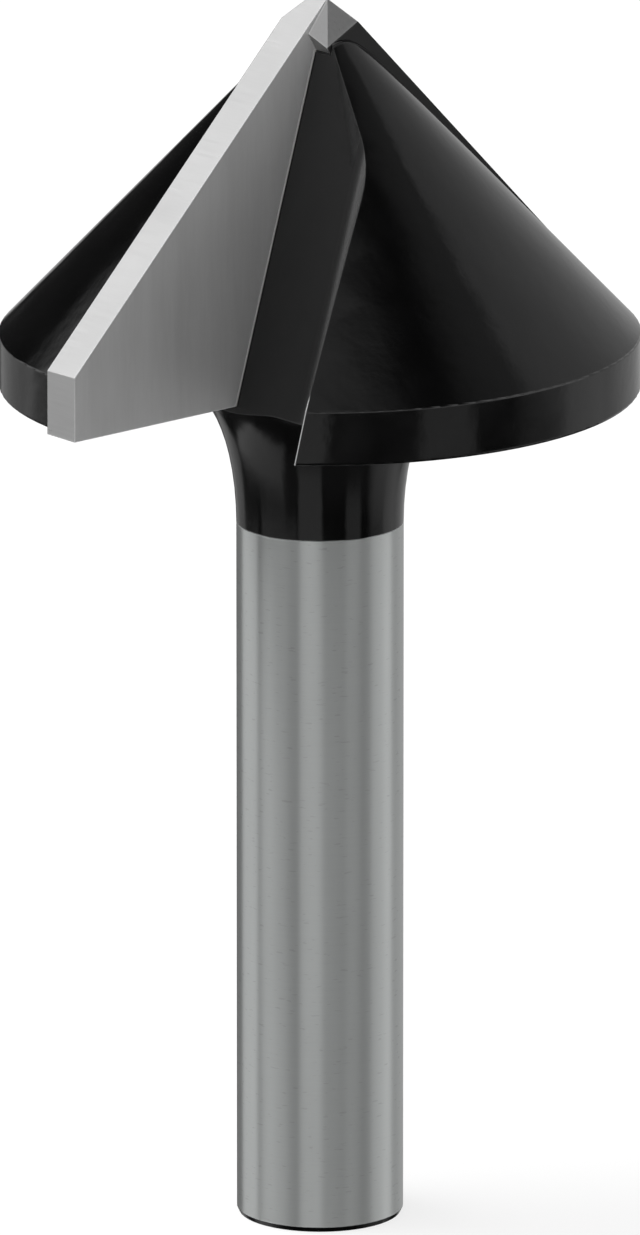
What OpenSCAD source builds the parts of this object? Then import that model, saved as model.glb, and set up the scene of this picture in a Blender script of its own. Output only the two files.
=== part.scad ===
// V-groove router bit: a turned steel body with two carbide tips brazed into its head.
// Z runs along the axis, from the end face of the shank at Z = 0 up to the point.
// Tip 1 reaches out along +X and its rake face looks along +Y.
// Tip 2 is tip 1 turned half a turn about the axis.

/* [Cutting edges] */
// Diameter of the circle that the corners of the cutting edges sweep
cut_d = 31.8; // [26:0.1:38]
// Angle of the groove between the two cutting edges, in degrees
v_angle = 90; // [80:1:110]
// Height of the straight side below the corner of each cutting edge
side_len = 3.13; // [2:0.01:6]
// Angle by which each ground flank falls away behind its edge, in degrees
relief = 2; // [0.5:0.5:8]

/* [Length and shank] */
// Length from the end face of the shank to the point
total_len = 60; // [54:0.5:90]
// Diameter of the shank
shank_d = 8; // [6:0.05:10]
// Width of the chamfer round the end face, measured across the radius
chamfer_w = 0.11; // [0.05:0.01:1]
// Height of the chamfer round the end face
chamfer_h = 0.23; // [0.05:0.01:1]

/* [Neck] */
// Height of the hollow curve from the shank up to the underside of the head
neck_len = 6.8; // [3:0.1:12]
// Width of that curve, from the shank out to where it meets the underside
neck_flare = 2.65; // [1:0.05:5]

/* [Steel head] */
// Distance that the steel rim lies inside the cutting circle
rim_inset = 0.6; // [0.3:0.05:1.5]
// Depth of the steel cone's own apex below the point
cone_drop = 0.25; // [0.1:0.05:0.8]
// Angle by which the steel cone is steeper than the cutting edges, in degrees
cone_clear = 1.5; // [0.5:0.5:3]
// Radius of the two rounded edges of the rim
rim_round = 0.15; // [0.05:0.01:0.5]

/* [Gullets] */
// Distance from the axis to the foot of the outer wall, along the floor
gullet_w = 5.9; // [4.5:0.01:8]
// Angle between the outer wall and the floor's own line, in degrees
gullet_wall = 47; // [35:0.1:60]
// Radius of the hollow corner between the floor and the outer wall
gullet_r = 2.5; // [0.5:0.1:3]
// Angle at which the floor leans away from the axis, in degrees
floor_lean = 16.8; // [12:0.1:22]

/* [Carbide tips] */
// Thickness of each tip, from its rake face to its back
tip_t = 2.05; // [1.6:0.05:3]
// Distance of each rake face ahead of the axis
rake_ahead = 0.525; // [0.3:0.005:0.8]
// Thickness of the braze between a tip and the steel
braze_t = 0.1; // [0.05:0.01:0.2]

/* [Point] */
// Height of the crown, where the point is carbide right across
crown_h = 2.4; // [2:0.05:3.5]
// Depth of the upper corner of the lobe that each tip sends past the axis
lobe_top = 1.54; // [1:0.01:1.8]
// Angle at which the end of the lobe leans in towards the axis, in degrees
lobe_lean = 30; // [15:1:40]
// Depth at which the ridge of the point gash ends on the back of the tip
ridge_h = 2.15; // [1.9:0.01:2.35]
// Depth at which the point gash leaves the flank
heel_h = 1.13; // [0.6:0.01:1.5]

/* [Hidden] */
$fn = 180;
half_turn = 180;
reach = cut_d + total_len;

// The corner of a cutting edge, which stands ahead of the axis by rake_ahead.
// The relief of the two flanks takes edge_top off the point where the edges would cross.
edge_x = sqrt(pow(cut_d / 2, 2) - pow(rake_ahead, 2));
edge_top = rake_ahead * tan(relief) / sin(v_angle / 2);
edge_h = edge_x / tan(v_angle / 2) - edge_top;
cut_len = edge_h + side_len;

// Levels and radii of the turned body
shank_r = shank_d / 2;
head_z = total_len - cut_len;
neck_z = head_z - neck_len;
rim_r = cut_d / 2 - rim_inset;
cone_z = total_len - cone_drop;
cone_half = v_angle / 2 - cone_clear;
rim_z = cone_z - rim_r / tan(cone_half);

// Length of the cone and of the rim that the rounding between them takes.
// The arc stands higher by arc_lap, so that it crosses the cone's line at a clear angle.
round_run = rim_round * tan(cone_half / 2);
arc_lap = 0.002;
land_top = rim_z - round_run + arc_lap;

// The back of tip 1, and the steel seat that the braze keeps clear of it
tip_back = rake_ahead - tip_t;
seat_back = tip_back - braze_t;
seat_h = crown_h + braze_t;
gap_x = braze_t / cos(floor_lean);

// Stock on the sides of a tip that are ground, and what the relief takes off its back
stock = 1;
flank_drop = tip_t * tan(relief);

// The point gash of tip 1, given by points on its lobe, its flank and its back
chisel_end = [0, -rake_ahead, 0];
lobe_corner = [-lobe_x(lobe_top), -rake_ahead, -lobe_top];
ridge_foot = [-lobe_x(ridge_h), tip_back, -ridge_h];
heel = [heel_h * tan(v_angle / 2), tip_back, -heel_h];

// Distance of the gullet floor from the axis, at a depth below the point
function floor_x(depth) = depth * tan(floor_lean);

// Distance of the lobe's end from the axis, at a depth below the point
function lobe_x(depth) = floor_x(crown_h) + (crown_h - depth) * tan(lobe_lean);

// Half section of the turned body: shank, neck, rim and cone
module turned_section() {
    difference() {
        polygon([
            [0, 0],
            [shank_r - chamfer_w, 0],
            [shank_r, chamfer_h],
            [shank_r, neck_z],
            [shank_r + neck_flare, neck_z],
            [shank_r + neck_flare, head_z],
            [rim_r - rim_round, head_z],
            [rim_r, head_z + rim_round],
            [rim_r, land_top],
            [rim_r - round_run * sin(cone_half), rim_z + round_run * cos(cone_half)],
            [0, cone_z]
        ]);
        translate([shank_r + neck_flare, neck_z])
            scale([neck_flare, neck_len])
                circle(r = 1);
    }
    for (level = [head_z + rim_round, land_top])
        translate([rim_r - rim_round, level]) circle(r = rim_round);
}

module turned_body() {
    rotate_extrude() turned_section();
}

// Gullet and tip seat in one section, square to the floor's slope.
// X leads out from the floor and Y runs along it, ahead of the axis plane.
module gullet_section() {
    corner_y = gullet_w - gullet_r * tan(gullet_wall / 2);
    wall_start = gullet_r * (1 - cos(gullet_wall));
    wall_end = reach / 2;
    polygon([
        [0, seat_back],
        [0, corner_y],
        [wall_start, gullet_w + wall_start / tan(gullet_wall)],
        [wall_end, gullet_w + wall_end / tan(gullet_wall)],
        [wall_end, seat_back]
    ]);
    translate([gullet_r, corner_y]) circle(r = gullet_r);
}

// The gullet ahead of tip 1 and the seat behind it, cut parallel to the floor line
module gullet() {
    translate([0, 0, total_len])
        rotate([0, -floor_lean, 0])
            translate([0, 0, -reach])
                linear_extrude(height = 2 * reach) gullet_section();
}

// The flat seat under the crown, as wide as both tips together
module crown_seat() {
    translate([-reach / 2, seat_back, total_len - seat_h])
        cube([reach, -2 * seat_back, reach]);
}

// Shape removed from the turned body for both tips and both gullets
module head_cuts() {
    crown_seat();
    for (turn = [0, half_turn])
        rotate([0, 0, turn]) gullet();
}

// Half space beyond the plane through three points, which run anticlockwise seen from outside
module beyond(a, b, c) {
    n = cross(b - a, c - a);
    translate(a)
        rotate([0, acos(n.z / norm(n)), atan2(n.y, n.x)])
            translate([-reach, -reach, 0]) cube([2 * reach, 2 * reach, reach]);
}

// Flank ground behind the V edge of tip 1
module flank_cut() {
    beyond(
        [0, rake_ahead, edge_top],
        [-flank_drop * cos(v_angle / 2), tip_back, edge_top - flank_drop * sin(v_angle / 2)],
        [edge_x, rake_ahead, -edge_h]
    );
}

// Flank ground behind the straight side of tip 1
module side_cut() {
    beyond(
        [edge_x, rake_ahead, 0],
        [edge_x - flank_drop, tip_back, 0],
        [edge_x, rake_ahead, -cut_len]
    );
}

// Outline of tip 1 before it is ground, seen on its rake face with the point at the origin
module tip_outline() {
    polygon([
        [-lobe_x(-stock), stock],
        [edge_x + stock, stock],
        [edge_x + stock, -cut_len],
        [floor_x(cut_len) + gap_x, -cut_len],
        [floor_x(crown_h) + gap_x, -crown_h],
        [-floor_x(crown_h), -crown_h]
    ]);
}

// Stands an outline drawn on the rake face upright, from front_y back to back_y
module plate(front_y, back_y) {
    translate([0, front_y, total_len])
        rotate([90, 0, 0])
            linear_extrude(height = front_y - back_y) children();
}

// Tip 1: a flat plate with ground flanks, a gashed point and a lobe past the axis
module tip() {
    difference() {
        plate(rake_ahead, tip_back) tip_outline();
        translate([0, 0, total_len]) {
            // The other tip fills the middle of the point on its own side
            translate([-reach, -rake_ahead, -reach]) cube([reach, reach, 2 * reach]);
            for (turn = [0, half_turn])
                rotate([0, 0, turn]) flank_cut();
            side_cut();
            beyond(chisel_end, ridge_foot, heel);
            beyond(chisel_end, lobe_corner, ridge_foot);
        }
    }
}

// Outline of the braze behind tip 1, which the steel cone trims
module back_outline() {
    polygon([
        [0, 0],
        [reach, 0],
        [reach, -cut_len],
        [floor_x(cut_len), -cut_len],
        [floor_x(seat_h), -seat_h],
        [-floor_x(seat_h), -seat_h]
    ]);
}

// Outline of the braze along the floor line of tip 1 and under the crown
module strip_outline() {
    polygon([
        [-floor_x(seat_h), -seat_h],
        [floor_x(seat_h), -seat_h],
        [floor_x(cut_len), -cut_len],
        [floor_x(cut_len) + gap_x, -cut_len],
        [floor_x(crown_h) + gap_x, -crown_h],
        [-floor_x(crown_h), -crown_h]
    ]);
}

// Steel body: shank, neck and head, with both gullets and both tip seats
module body() {
    color("#232326")
        difference() {
            turned_body();
            head_cuts();
        }
}

module carbide_tip_1() {
    color("#a9abac") tip();
}

module carbide_tip_2() {
    color("#a9abac")
        rotate([0, 0, half_turn]) tip();
}

// Braze: one thin run of filler behind, beside and under both tips
module braze() {
    color("#d8c98f")
        for (turn = [0, half_turn])
            rotate([0, 0, turn]) {
                plate(rake_ahead, seat_back) strip_outline();
                intersection() {
                    turned_body();
                    plate(tip_back, seat_back) back_outline();
                }
            }
}

body();
carbide_tip_1();
carbide_tip_2();
braze();
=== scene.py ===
import math

import bpy
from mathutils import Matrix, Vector

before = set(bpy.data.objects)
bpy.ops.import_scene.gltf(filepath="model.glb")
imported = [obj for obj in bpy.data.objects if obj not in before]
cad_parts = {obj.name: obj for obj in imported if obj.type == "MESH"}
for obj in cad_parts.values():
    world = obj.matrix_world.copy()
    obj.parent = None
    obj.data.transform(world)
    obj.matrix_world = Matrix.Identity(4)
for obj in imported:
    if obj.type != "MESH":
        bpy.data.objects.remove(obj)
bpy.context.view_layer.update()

MM = 0.001

# Camera: the photograph's view in degrees, the lens and sensor in millimetres, and the frame in metres
VIEW_AZIMUTH = -41.5
VIEW_ELEVATION = 15.3
LENS = 600.0
SENSOR = 36.0
FRAME_HEIGHT = 58.98 * MM
AIM_HEIGHT = 29.48 * MM
CLIP_END = 20.0

# Lengths on the part below are in millimetres, and angles in degrees.
# Lower edge of the coating on the neck: its height, softness and waves
COAT_EDGE = 34.3
COAT_FADE = 0.05
COAT_WAVE = 0.05

# The chamfer of the end face keeps its coating, up to this height
CHAMFER_TOP = 0.25
CHAMFER_FADE = 0.02

# The steel head: lean of the gullet floors, start of their hollow corners, radius of the rim, and underside
FLOOR_LEAN = 16.8
HOLLOW_START = 4.8
RIM_RADIUS = 15.3
HEAD_BOTTOM = 41.0

# The carbide tips: distance of their backs and of their cutting faces from the axis plane
TIP_BACK = 1.5
RAKE_AHEAD = 0.525

# Radii that deburring leaves on the edges, and the reach from them of the edge wear and the painted edge
# glints
BODY_ROUND = 0.035
TIP_ROUND = 0.05
BRAZE_ROUND = 0.12
EDGE_WEAR_AND_GLINT_RADIUS = 0.16
ROUND_SAMPLES = 8

# Depth of the bumps of each finish, and how much higher the coating's sway is than its ripple
STEEL_BUMP = 0.0012
COAT_BUMP = 0.008
CARBIDE_BUMP = 0.0010
BRAZE_BUMP = 0.004
COAT_SWAY = 4.0

# Painted sheen and glint: the coating in the hollow corners is painted paler in place of the reflection
# band along their curve, and the rim's corner beyond them is painted bright as a glint
HOLLOW_SHEEN_SHARE = 0.26
HOLLOW_SHEEN_LEVEL = 0.20
CORNER_GLINT_LEVEL = 0.55

# Along the edges: on the coating, wear that is partly a painted pale glint (its share, level and
# roughness); on the carbide, a painted highlight (its level)
COAT_WEAR_AND_GLINT_SHARE = 0.2
COAT_WEAR_AND_GLINT_LEVEL = 0.10
COAT_WORN_ROUGHNESS = 0.42
CARBIDE_EDGE_HIGHLIGHT_LEVEL = 0.95

# Small dark ticks that the grinding leaves on the shank: their share and level
TICK_SHARE = 0.32
TICK_LEVEL = 0.42

# Share of the cutting face's grey that is a matt haze of grinding marks
FACE_HAZE = 0.15

# The coating is duller on the sintered backs of the tips than on the turned steel
BACK_HAZE = 0.28

# Lean of the braze's hollow surface out from the axis, and up along it
MENISCUS_OUT = 0.70
MENISCUS_UP = 0.14

# Share of the fine grain in the tone of each ground metal; slow drift has the rest
STEEL_GRAIN = 0.35
CARBIDE_GRAIN = 0.45

# How far the reflections are drawn out across the grinding marks, and their turn from the tangent
STEEL_STRETCH = 1.0
STEEL_TURN = 0.25
CARBIDE_STRETCH = 0.8

# Refractive index of the coating
COAT_IOR = 1.5

# Colours of each finish: darkest level, lightest level and tint
COLOURS = {
    "coat": (0.0006, 0.0020, (1.0, 1.0, 1.04)),
    "steel": (0.60, 0.78, (0.97, 1.0, 0.99)),
    "carbide": (0.56, 0.75, (1.0, 1.0, 1.0)),
    "tip_back": (0.008, 0.016, (1.0, 1.0, 1.0)),
    "braze": (0.35, 0.52, (1.0, 0.99, 0.97)),
}

# Noise of each finish: cycles a millimetre along x, y and z, then detail and roughness
GRAIN = {
    "coat_wave": ((0.8, 0.8, 0.2), 2.0, 0.5),
    "coat_cloud": ((0.35, 0.35, 0.35), 4.0, 0.5),
    "coat_ripple": ((1.6, 1.6, 1.6), 2.0, 0.5),
    "coat_sway": ((0.3, 0.3, 0.3), 1.0, 0.5),
    "steel_lines": ((0.25, 0.25, 9.0), 5.0, 0.65),
    "steel_drift": ((0.55, 0.55, 0.05), 2.0, 0.5),
    "steel_ticks": ((1.8, 1.8, 9.0), 1.0, 0.5),
    "land_streaks": ((7.0, 0.25, 7.0), 4.0, 0.6),
    "land_cloud": ((0.22, 0.22, 0.22), 3.0, 0.5),
    "face_marks": ((6.0, 6.0, 0.5), 4.0, 0.6),
    "face_passes": ((1.1, 1.1, 0.08), 2.0, 0.5),
    "braze_flow": ((2.5, 2.5, 1.2), 4.0, 0.5),
}

# Roughness of each finish: the noise's low and high, and the roughness there
ROUGHNESS = {
    "coat": (0.3, 0.7, 0.10, 0.17),
    "steel": (0.2, 0.8, 0.36, 0.44),
    "land": (0.2, 0.8, 0.26, 0.36),
    "face": (0.2, 0.8, 0.52, 0.60),
    "braze": (0.2, 0.8, 0.40, 0.55),
}

# Masks: where each begins, and where it is whole, in the value that is measured for it
MASKS = {
    "edges": (0.995, 0.80),
    "ticks": (0.66, 0.74),
    "turned": (0.9998, 0.96),
    "off_cone": (0.45, 0.35),
    "past_floor": (HOLLOW_START, HOLLOW_START + 0.2),
    "inside_rim": (RIM_RADIUS - 0.1, RIM_RADIUS - 0.2),
    "above_underside": (HEAD_BOTTOM, HEAD_BOTTOM + 0.1),
    "beside_corner": (0.75, 0.45),
    "near_rim": (RIM_RADIUS - 0.7, RIM_RADIUS - 0.4),
    "on_head": (COAT_EDGE - COAT_FADE, COAT_EDGE + COAT_FADE),
    "on_chamfer": (CHAMFER_TOP + CHAMFER_FADE, CHAMFER_TOP - CHAMFER_FADE),
    "on_face": (0.85, 0.95),
    "on_back": (TIP_BACK - 0.01, TIP_BACK + 0.01),
    "off_face": (0.02, 0.06),
}

# Studio panels seen in the metal, in degrees. Azimuth 0 is the camera's side and 90 the photograph's right.
# name: (azimuth, half width, softness, elevation, half height, softness, level)
PANELS = {
    "wall_back_right": (149, 39, 2, 10, 35, 3, 0.47),
    "step_right": (120, 17, 2, 24, 26, 4, 0.45),
    "step_edge": (107, 4, 2, 24, 26, 4, 0.56),
    "fade_right": (104, 22, 12, 4, 60, 8, 0.22),
    "low_right": (112, 16, 8, -18, 14, 6, 0.56),
    "card_right": (94, 21, 3, 10, 15, 4, 1.12),
    "glow_front": (22, 50, 6, 7, 9, 3, 1.40),
    "card_front_right": (47, 11, 3, -14, 18, 5, 0.34),
    "card_front": (-14, 17, 3, -20, 28, 6, 0.46),
    "card_front_left": (-60, 28, 4, -8, 12, 5, 0.52),
    "card_left": (-113, 19, 3, 0, 13, 4, 1.00),
    "glow_left": (-114, 12, 4, 10, 10, 5, 1.30),
    "card_back_left": (-146, 20, 3, -18, 14, 4, 0.36),
    "fill_front": (-20, 62, 24, 35, 37, 6, 0.52),
    "softbox_left": (-102, 30, 10, 50, 26, 10, 1.58),
    "sky_front": (-40, 75, 25, 78, 12, 8, 0.40),
    "ground_left": (-90, 38, 3, -42, 12, 4, 0.58),
    "ground_front_left": (-64, 16, 4, -30, 12, 4, 0.17),
    "ground_right": (104, 30, 8, -30, 12, 4, 0.46),
    "ground": (-20, 105, 10, -40, 14, 6, 0.07),
}
BASE_LEVEL = 0.02

# The overhead lamp: azimuth and elevation in degrees, distance and size in metres, and power in watts
LAMP_AZIMUTH = -110
LAMP_ELEVATION = 60
LAMP_DISTANCE = 0.8
LAMP_SIZE = 0.7
LAMP_POWER = 9.0

# The floor: its size in metres, its colour, and how far it reaches white for the camera
FLOOR_SIZE = 6.0
FLOOR_COLOUR = (0.92, 0.92, 0.92, 1)
FLOOR_GLOW = 0.80
WHITE = (1, 1, 1, 1)


def photo_direction(azimuth, elevation):
    """A unit vector in the part's frame, from angles measured round the axis from the camera's side."""
    turn = math.radians(VIEW_AZIMUTH + azimuth)
    rise = math.radians(elevation)
    return Vector((math.sin(turn) * math.cos(rise), -math.cos(turn) * math.cos(rise), math.sin(rise)))


def add(tree, kind, inputs=None, **settings):
    """Adds a node. An input is a value, or a socket to link it to."""
    made = tree.nodes.new(kind)
    for name, value in settings.items():
        setattr(made, name, value)
    for name, value in (inputs or {}).items():
        if isinstance(value, bpy.types.NodeSocket):
            tree.links.new(value, made.inputs[name])
        else:
            made.inputs[name].default_value = value
    return made


def maths(tree, operation, a, b=0.0):
    return add(tree, "ShaderNodeMath", {0: a, 1: b}, operation=operation).outputs[0]


def vector_maths(tree, operation, a, b):
    return add(tree, "ShaderNodeVectorMath", {0: a, 1: b}, operation=operation).outputs[0]


def dot(tree, a, b):
    made = add(tree, "ShaderNodeVectorMath", {0: a, 1: b}, operation="DOT_PRODUCT")
    return made.outputs["Value"]


def product(tree, *factors):
    """The product of two or more masks or numbers."""
    total = factors[0]
    for factor in factors[1:]:
        total = maths(tree, "MULTIPLY", total, factor)
    return total


def smooth_range(tree, value, start, end):
    """0 at the start and 1 at the end, with soft ends."""
    inputs = {"Value": value, "From Min": start, "From Max": end, "To Min": 0.0, "To Max": 1.0}
    made = add(tree, "ShaderNodeMapRange", inputs, interpolation_type="SMOOTHSTEP")
    return made.outputs["Result"]


def mask(tree, value, name):
    """One of the masks in MASKS."""
    return smooth_range(tree, value, *MASKS[name])


def linear_range(tree, value, low, high, to_low, to_high):
    """Turns low..high into to_low..to_high in a straight line."""
    inputs = {"Value": value, "From Min": low, "From Max": high, "To Min": to_low, "To Max": to_high}
    return add(tree, "ShaderNodeMapRange", inputs).outputs["Result"]


def mix_number(tree, share, a, b):
    """A number that is a where the share is 0 and b where it is 1."""
    made = add(tree, "ShaderNodeMix", {"Factor": share, "A": a, "B": b}, data_type="FLOAT")
    return made.outputs["Result"]


def mix_colour(tree, share, a, b):
    """A colour that is a where the share is 0 and b where it is 1."""
    made = add(tree, "ShaderNodeMix", {"Factor": share}, data_type="RGBA")
    first, second = [socket for socket in made.inputs if socket.type == "RGBA"]
    for socket, value in ((first, a), (second, b)):
        if isinstance(value, bpy.types.NodeSocket):
            tree.links.new(value, socket)
        else:
            socket.default_value = value
    return next(socket for socket in made.outputs if socket.type == "RGBA")


def grey(level, tint=(1.0, 1.0, 1.0)):
    return (level * tint[0], level * tint[1], level * tint[2], 1.0)


def finish_colour(tree, name, share):
    """The finish's colour, from its darkest level at share 0 to its lightest at 1."""
    dark, light, tint = COLOURS[name]
    return mix_colour(tree, share, grey(dark, tint), grey(light, tint))


def finish_roughness(tree, name, noise):
    return linear_range(tree, noise, *ROUGHNESS[name])


def millimetres(tree):
    """The place on the part in millimetres, and its x, y and z."""
    place = add(tree, "ShaderNodeTexCoord").outputs["Object"]
    scaled = add(tree, "ShaderNodeVectorMath", {0: place, "Scale": 1 / MM}, operation="SCALE").outputs[0]
    parts = add(tree, "ShaderNodeSeparateXYZ", {0: scaled})
    return scaled, parts.outputs[0], parts.outputs[1], parts.outputs[2]


def grain_noise(tree, place, name):
    """One of the noises in GRAIN, stretched along each axis."""
    stretch, detail, rough = GRAIN[name]
    scaled = vector_maths(tree, "MULTIPLY", place, stretch)
    inputs = {"Vector": scaled, "Scale": 1.0, "Detail": detail, "Roughness": rough}
    return add(tree, "ShaderNodeTexNoise", inputs).outputs[0]


def bump(tree, height, depth_mm, normal):
    inputs = {"Height": height, "Strength": 1.0, "Distance": depth_mm * MM, "Normal": normal}
    return add(tree, "ShaderNodeBump", inputs).outputs["Normal"]


def surface_normal(tree):
    return add(tree, "ShaderNodeNewGeometry").outputs["Normal"]


def rounded_normal(tree, radius_mm):
    """The surface's normal, turned round at edges as deburring leaves them."""
    return add(tree, "ShaderNodeBevel", {"Radius": radius_mm * MM}, samples=ROUND_SAMPLES).outputs[0]


def edge_mask(tree):
    """1 on edges and 0 on open faces: where the rounded normal turns away from the face's own."""
    same = dot(tree, rounded_normal(tree, EDGE_WEAR_AND_GLINT_RADIUS), surface_normal(tree))
    return mask(tree, same, "edges")


def new_material(name):
    """An empty node material and its Principled shader."""
    material = bpy.data.materials.new(name)
    material.use_nodes = True
    tree = material.node_tree
    shader = tree.nodes["Principled BSDF"]
    return material, tree, shader


def connect(tree, shader, **sockets):
    for name, value in sockets.items():
        tree.links.new(value, shader.inputs[name.replace("_", " ")])


def coat_look(tree, place, edges):
    """The glossy black coating: its colour, its roughness and the height of its unevenness."""
    cloud = grain_noise(tree, place, "coat_cloud")
    ripple = grain_noise(tree, place, "coat_ripple")
    sway = grain_noise(tree, place, "coat_sway")
    plain = finish_colour(tree, "coat", cloud)
    # Edges painted paler: partly wear of the coating, partly a painted glint in place of edge highlights
    colour = mix_colour(tree, product(tree, edges, COAT_WEAR_AND_GLINT_SHARE), plain, grey(COAT_WEAR_AND_GLINT_LEVEL))
    rough = mix_number(tree, edges, finish_roughness(tree, "coat", cloud), COAT_WORN_ROUGHNESS)
    height = maths(tree, "ADD", ripple, product(tree, sway, COAT_SWAY))
    return colour, rough, height


def steel_look(tree, place):
    """The ground steel of the shank: its colour, its roughness and the height of its grinding lines."""
    lines = grain_noise(tree, place, "steel_lines")
    drift = grain_noise(tree, place, "steel_drift")
    ticks = mask(tree, grain_noise(tree, place, "steel_ticks"), "ticks")
    plain = finish_colour(tree, "steel", mix_number(tree, STEEL_GRAIN, drift, lines))
    colour = mix_colour(tree, product(tree, ticks, TICK_SHARE), plain, grey(TICK_LEVEL))
    return colour, finish_roughness(tree, "steel", lines), maths(tree, "SUBTRACT", lines, ticks)


def hollow_mask(tree, ahead, z, radius, facing, side):
    """The hollow corner of each gullet, from where it turns away from the floor up to the cone."""
    lean = math.radians(FLOOR_LEAN)
    level = product(tree, facing.outputs[0], side, math.cos(lean))
    turned = maths(tree, "ADD", level, product(tree, facing.outputs[2], math.sin(lean)))
    return product(
        tree,
        mask(tree, turned, "turned"),
        mask(tree, facing.outputs[2], "off_cone"),
        mask(tree, ahead, "past_floor"),
        mask(tree, radius, "inside_rim"),
        mask(tree, z, "above_underside"),
    )


def corner_mask(tree, out, ahead, radius):
    """The corner where each gullet's outer wall comes out through the rim."""
    offset = maths(tree, "ABSOLUTE", maths(tree, "SUBTRACT", ahead, out))
    return product(tree, mask(tree, offset, "beside_corner"), mask(tree, radius, "near_rim"))


def gullet_sheen_masks(tree, x, y, z):
    """Where the coating gets its painted sheen and painted glint: the hollow corner of each gullet, and the
    rim's corner beyond it.
    """
    side = maths(tree, "SIGN", y)
    out = product(tree, x, side)
    ahead = product(tree, y, side)
    facing = add(tree, "ShaderNodeSeparateXYZ", {0: surface_normal(tree)})
    squares = maths(tree, "ADD", maths(tree, "POWER", x, 2.0), maths(tree, "POWER", y, 2.0))
    radius = maths(tree, "SQRT", squares)
    hollow = hollow_mask(tree, ahead, z, radius, facing, side)
    return hollow, corner_mask(tree, out, ahead, radius)


def coated_mask(tree, place, z):
    """1 on the coating: above its wavy edge on the neck, and on the chamfer of the end face."""
    wave = linear_range(tree, grain_noise(tree, place, "coat_wave"), 0.0, 1.0, -COAT_WAVE, COAT_WAVE)
    level = maths(tree, "ADD", z, wave)
    return maths(tree, "MAXIMUM", mask(tree, level, "on_head"), mask(tree, z, "on_chamfer"))


def body_material():
    """Ground steel on the shank, and the black coating above its edge on the neck and head."""
    material, tree, shader = new_material("body_steel_coated")
    place, x, y, z = millimetres(tree)
    coated = coated_mask(tree, place, z)
    bare = maths(tree, "SUBTRACT", 1.0, coated)
    edges = edge_mask(tree)
    hollow, corner = gullet_sheen_masks(tree, x, y, z)
    plain_colour, coat_rough, ripple = coat_look(tree, place, edges)
    # Painted sheen: the hollow corners are painted paler in place of the reflection band along them
    hollow_sheened = mix_colour(tree, product(tree, hollow, HOLLOW_SHEEN_SHARE), plain_colour, grey(HOLLOW_SHEEN_LEVEL))
    # Painted glint: the rim's corner edges beyond the hollows are painted bright
    coat_colour = mix_colour(tree, product(tree, corner, edges), hollow_sheened, grey(CORNER_GLINT_LEVEL))
    steel_colour, steel_rough, lines = steel_look(tree, place)
    rounded = rounded_normal(tree, BODY_ROUND)
    steel_normal = bump(tree, product(tree, lines, bare), STEEL_BUMP, rounded)
    shader.inputs["Anisotropic"].default_value = STEEL_STRETCH
    shader.inputs["Anisotropic Rotation"].default_value = STEEL_TURN
    shader.inputs["IOR"].default_value = COAT_IOR
    connect(
        tree,
        shader,
        Base_Color=mix_colour(tree, coated, steel_colour, coat_colour),
        Metallic=bare,
        Roughness=mix_number(tree, coated, steel_rough, coat_rough),
        Normal=bump(tree, product(tree, ripple, coated), COAT_BUMP, steel_normal),
        Tangent=add(tree, "ShaderNodeTangent", direction_type="RADIAL", axis="Z").outputs[0],
    )
    return material


def grinding_tangent(tree, on_face):
    """The direction across the grinding marks: level on the cutting face, along the edge on the lands."""
    along = vector_maths(tree, "CROSS_PRODUCT", surface_normal(tree), (0, 1, 0))
    level = add(tree, "ShaderNodeCombineXYZ", {0: on_face, 1: 0.0, 2: 0.0}).outputs[0]
    return vector_maths(tree, "ADD", along, level)


def carbide_material():
    """Ground carbide: streaks across the lands, upright marks on the cutting face, coating on the back."""
    material, tree, shader = new_material("ground_carbide")
    place, _, y, _ = millimetres(tree)
    facing = add(tree, "ShaderNodeSeparateXYZ", {0: surface_normal(tree)})
    on_face = mask(tree, maths(tree, "ABSOLUTE", facing.outputs[1]), "on_face")
    on_back = mask(tree, maths(tree, "ABSOLUTE", y), "on_back")
    streaks = grain_noise(tree, place, "land_streaks")
    grain = mix_number(tree, on_face, streaks, grain_noise(tree, place, "face_marks"))
    cloud = grain_noise(tree, place, "land_cloud")
    drift = mix_number(tree, on_face, cloud, grain_noise(tree, place, "face_passes"))
    edges = edge_mask(tree)
    plain = finish_colour(tree, "carbide", mix_number(tree, CARBIDE_GRAIN, drift, grain))
    # Painted highlight: the carbide's edges are painted near white
    ground = mix_colour(tree, edges, plain, grey(CARBIDE_EDGE_HIGHLIGHT_LEVEL))
    _, coat_rough, ripple = coat_look(tree, place, edges)
    land_rough = finish_roughness(tree, "land", grain)
    ground_rough = mix_number(tree, on_face, land_rough, finish_roughness(tree, "face", grain))
    back_rough = maths(tree, "ADD", coat_rough, BACK_HAZE)
    height = mix_number(tree, on_back, grain, ripple)
    matt = maths(tree, "ADD", on_back, product(tree, on_face, FACE_HAZE))
    shader.inputs["Anisotropic"].default_value = CARBIDE_STRETCH
    connect(
        tree,
        shader,
        Base_Color=mix_colour(tree, on_back, ground, finish_colour(tree, "tip_back", cloud)),
        Metallic=maths(tree, "SUBTRACT", 1.0, matt),
        Roughness=mix_number(tree, on_back, ground_rough, back_rough),
        Normal=bump(tree, height, CARBIDE_BUMP, rounded_normal(tree, TIP_ROUND)),
        Tangent=grinding_tangent(tree, on_face),
    )
    return material


def meniscus_normal(tree, x):
    """The braze's normal, leaning out from the axis as the hollow surface of set solder does."""
    out = product(tree, maths(tree, "SIGN", x), MENISCUS_OUT)
    lean = add(tree, "ShaderNodeCombineXYZ", {0: out, 1: 0.0, 2: MENISCUS_UP}).outputs[0]
    leaning = vector_maths(tree, "ADD", rounded_normal(tree, BRAZE_ROUND), lean)
    return add(tree, "ShaderNodeVectorMath", {0: leaning}, operation="NORMALIZE").outputs[0]


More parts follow.
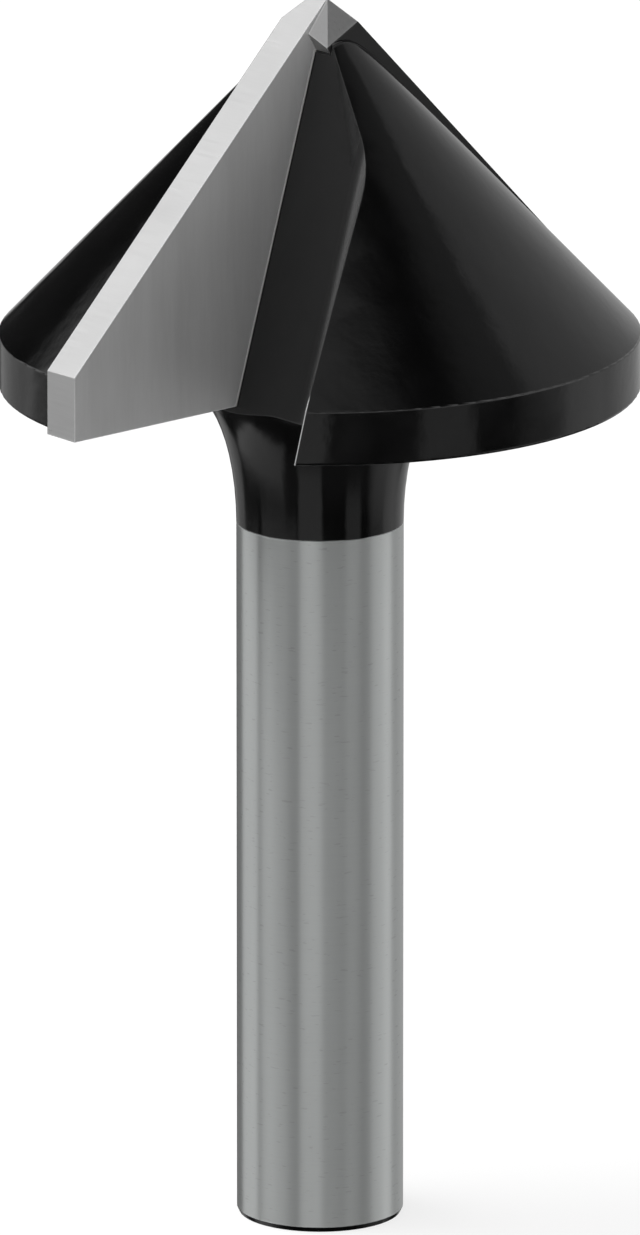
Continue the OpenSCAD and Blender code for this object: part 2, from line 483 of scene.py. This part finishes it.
def braze_material():
    """Silver braze, laid open where the cutting face was ground and coated black everywhere else."""
    material, tree, shader = new_material("silver_braze")
    place, x, y, _ = millimetres(tree)
    off_face = maths(tree, "ABSOLUTE", maths(tree, "SUBTRACT", maths(tree, "ABSOLUTE", y), RAKE_AHEAD))
    coated = mask(tree, off_face, "off_face")
    flow = grain_noise(tree, place, "braze_flow")
    coat_colour, coat_rough, _ = coat_look(tree, place, 0.0)
    connect(
        tree,
        shader,
        Base_Color=mix_colour(tree, coated, finish_colour(tree, "braze", flow), coat_colour),
        Metallic=maths(tree, "SUBTRACT", 1.0, coated),
        Roughness=mix_number(tree, coated, finish_roughness(tree, "braze", flow), coat_rough),
        Normal=bump(tree, flow, BRAZE_BUMP, meniscus_normal(tree, x)),
    )
    return material


def dress(name, material):
    """Gives a CAD node its finish."""
    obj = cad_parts[name]
    obj.data.materials.clear()
    obj.data.materials.append(material)


def panel_mask(tree, azimuth, elevation, panel):
    """The panel's level within its soft edges, and 0 outside them."""
    turn, half_width, side_soft, rise, half_height, end_soft, level = panel
    inputs = {0: maths(tree, "SUBTRACT", azimuth, math.radians(turn)), 1: math.pi, 2: -math.pi}
    beside = add(tree, "ShaderNodeMath", inputs, operation="WRAP").outputs[0]
    above = maths(tree, "SUBTRACT", elevation, math.radians(rise))
    lit = level
    for offset, half, soft in ((beside, half_width, side_soft), (above, half_height, end_soft)):
        distance = maths(tree, "ABSOLUTE", offset)
        edge = smooth_range(tree, distance, math.radians(half + soft), math.radians(half - soft))
        lit = product(tree, edge, lit)
    return lit


def studio_world():
    """The pale background, and the panels that the metal and the coating reflect."""
    world = bpy.data.worlds.new("studio")
    bpy.context.scene.world = world
    world.use_nodes = True
    tree = world.node_tree
    tree.nodes.clear()
    place = add(tree, "ShaderNodeTexCoord").outputs["Generated"]
    right = dot(tree, place, photo_direction(90, 0))
    near = dot(tree, place, photo_direction(0, 0))
    azimuth = maths(tree, "ARCTAN2", right, near)
    elevation = maths(tree, "ARCSINE", add(tree, "ShaderNodeSeparateXYZ", {0: place}).outputs[2])
    total = BASE_LEVEL
    for panel in PANELS.values():
        total = maths(tree, "MAXIMUM", panel_mask(tree, azimuth, elevation, panel), total)
    panels = add(tree, "ShaderNodeBackground", {"Color": WHITE, "Strength": total}).outputs[0]
    backdrop = add(tree, "ShaderNodeBackground", {"Color": WHITE, "Strength": 1.0}).outputs[0]
    seen = add(tree, "ShaderNodeLightPath").outputs["Is Camera Ray"]
    chosen = add(tree, "ShaderNodeMixShader", {0: seen, 1: panels, 2: backdrop}).outputs[0]
    add(tree, "ShaderNodeOutputWorld", {"Surface": chosen})


def floor():
    """A plain pale floor that keeps the part's soft shadow."""
    bpy.ops.mesh.primitive_plane_add(size=FLOOR_SIZE)
    plane = bpy.context.object
    plane.name = "floor"
    material = bpy.data.materials.new("pale_floor")
    material.use_nodes = True
    tree = material.node_tree
    tree.nodes.clear()
    seen = add(tree, "ShaderNodeLightPath").outputs["Is Camera Ray"]
    matt = add(tree, "ShaderNodeBsdfDiffuse", {"Color": FLOOR_COLOUR}).outputs[0]
    glow = add(tree, "ShaderNodeEmission", {"Color": WHITE, "Strength": 1.0}).outputs[0]
    share = product(tree, seen, FLOOR_GLOW)
    chosen = add(tree, "ShaderNodeMixShader", {0: share, 1: matt, 2: glow}).outputs[0]
    add(tree, "ShaderNodeOutputMaterial", {"Surface": chosen})
    plane.data.materials.append(material)
    plane.visible_glossy = False
    plane.visible_shadow = False


def overhead_lamp():
    """A large soft lamp that lights matt surfaces and is left out of reflections."""
    data = bpy.data.lights.new("overhead", "AREA")
    data.shape = "SQUARE"
    data.size = LAMP_SIZE
    data.energy = LAMP_POWER
    lamp = bpy.data.objects.new("overhead", data)
    bpy.context.scene.collection.objects.link(lamp)
    towards = photo_direction(LAMP_AZIMUTH, LAMP_ELEVATION)
    lamp.location = towards * LAMP_DISTANCE + Vector((0, 0, AIM_HEIGHT))
    lamp.rotation_euler = towards.to_track_quat("Z", "Y").to_euler()
    lamp.visible_glossy = False


def camera():
    """The photograph's view: a long lens aimed at the axis."""
    data = bpy.data.cameras.new("camera")
    data.lens = LENS
    data.sensor_width = SENSOR
    data.clip_end = CLIP_END
    obj = bpy.data.objects.new("camera", data)
    bpy.context.scene.collection.objects.link(obj)
    distance = FRAME_HEIGHT * LENS / SENSOR
    towards = photo_direction(0, VIEW_ELEVATION)
    obj.location = Vector((0, 0, AIM_HEIGHT)) + towards * distance
    obj.rotation_euler = towards.to_track_quat("Z", "Y").to_euler()
    bpy.context.scene.camera = obj


bpy.context.scene.view_settings.view_transform = "Standard"
carbide = carbide_material()
dress("body", body_material())
dress("carbide_tip_1", carbide)
dress("carbide_tip_2", carbide)
dress("braze", braze_material())
studio_world()
floor()
overhead_lamp()
camera()
